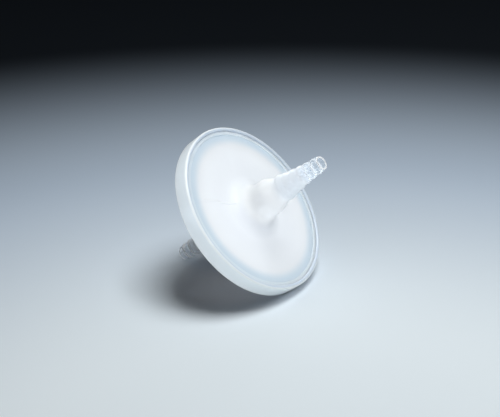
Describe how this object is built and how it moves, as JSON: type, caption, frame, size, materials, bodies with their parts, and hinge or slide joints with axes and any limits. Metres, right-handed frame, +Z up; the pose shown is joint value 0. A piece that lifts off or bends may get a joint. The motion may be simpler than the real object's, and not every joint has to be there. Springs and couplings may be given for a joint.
{
  "type": "syringe filter",
  "caption": "Sealed round in-line filter: a flat milky shell with a seal band round its rim, a membrane inside, and a stepped hose barb on each side.",
  "frame": {"origin": "on the surface that it lies on, below the middle of the disc", "axes": "+Z up; +Y across the disc, level; the inlet barb points to +X and up, 40.7 degrees above level"},
  "size_m": [0.0556, 0.06, 0.0486],
  "materials": {
    "shell": "milky translucent polypropylene, satin moulded surface",
    "band": "milky translucent polypropylene, slightly bluer, satin",
    "membrane": "matt white porous film",
    "screen": "white open mesh of moulded plastic"
  },
  "bodies": {
    "root": {"inlet_housing": "shell", "outlet_housing": "shell", "rim_band": "band", "membrane": "membrane", "inlet_screen": "screen", "outlet_screen": "screen"}
  },
  "joints": []
}
